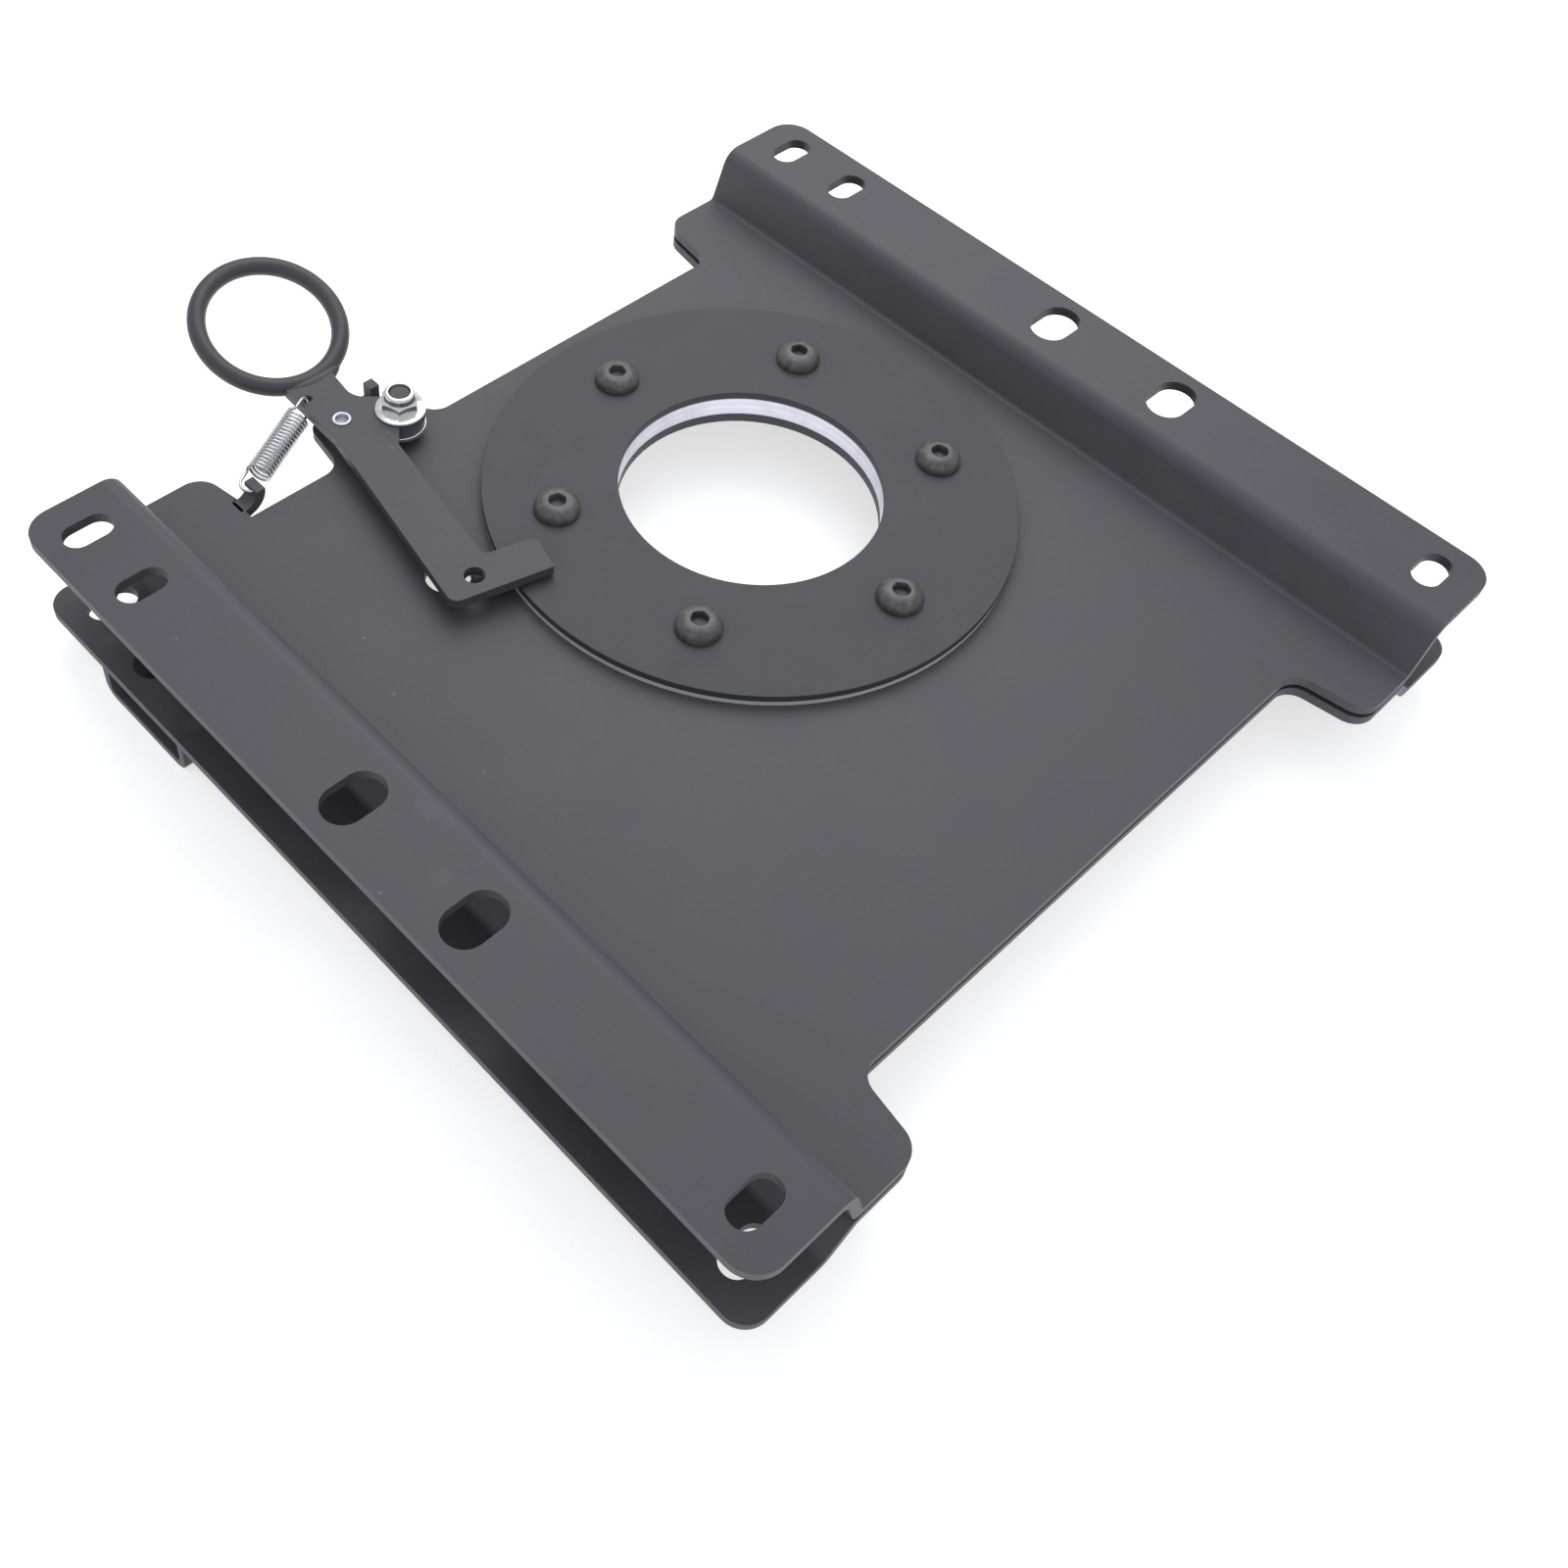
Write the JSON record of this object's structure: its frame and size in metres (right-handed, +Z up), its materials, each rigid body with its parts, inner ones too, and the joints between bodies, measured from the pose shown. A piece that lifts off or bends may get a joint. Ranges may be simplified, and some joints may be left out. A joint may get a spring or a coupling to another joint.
{
  "type": "seat_swivel_base",
  "caption": "Swivel base for a camper van seat: two flanged steel plates turning on a hub under a retaining disc, with a sprung release lever and pull ring",
  "frame": {"origin": "Middle of the vehicle-side slot pattern, in the plane of the lower flanges' underside.", "axes": "X runs across the flanges, Y along them towards the pull ring, Z up towards the seat."},
  "size_m": [0.3792, 0.413, 0.0646],
  "materials": {
    "powder_coat": "satin",
    "black_oxide": "satin",
    "hub_aluminium": "satin",
    "slip_plastic": "matte",
    "bright_zinc": "polished"
  },
  "bodies": {
    "base": {"lower_plate": "powder_coat", "underside_bracket": "powder_coat", "centre_ring": "hub_aluminium", "lower_slip_washer": "slip_plastic", "upper_slip_washer": "slip_plastic", "retaining_disc": "powder_coat", "disc_screw_1": "black_oxide", "disc_screw_2": "black_oxide", "disc_screw_3": "black_oxide", "disc_screw_4": "black_oxide", "disc_screw_5": "black_oxide", "disc_screw_6": "black_oxide"},
    "seat_side": {"upper_plate": "powder_coat", "pivot_screw": "black_oxide", "pivot_spacer": "black_oxide", "pivot_washer": "bright_zinc", "pivot_nut": "bright_zinc", "return_spring": "bright_zinc"},
    "lever": {"lever_plate": "powder_coat", "pull_ring": "powder_coat", "lock_tooth": "powder_coat", "guide_rivet": "bright_zinc", "guide_washer": "bright_zinc"}
  },
  "joints": [
    {"name": "swivel", "type": "hinge", "parent": "base", "child": "seat_side", "pos_m": [0.0292, 0.0389, 0.019], "axis": [0, 0, 1], "continuous": true},
    {"name": "lever_pivot", "type": "hinge", "parent": "seat_side", "child": "lever", "pos_m": [-0.048, 0.148, 0.029], "axis": [0, 0, -1], "range_deg": [0, 18], "stiffness_Nm_per_rad": 1.1, "springref_deg": -17.19, "deforming": ["return_spring"]}
  ]
}
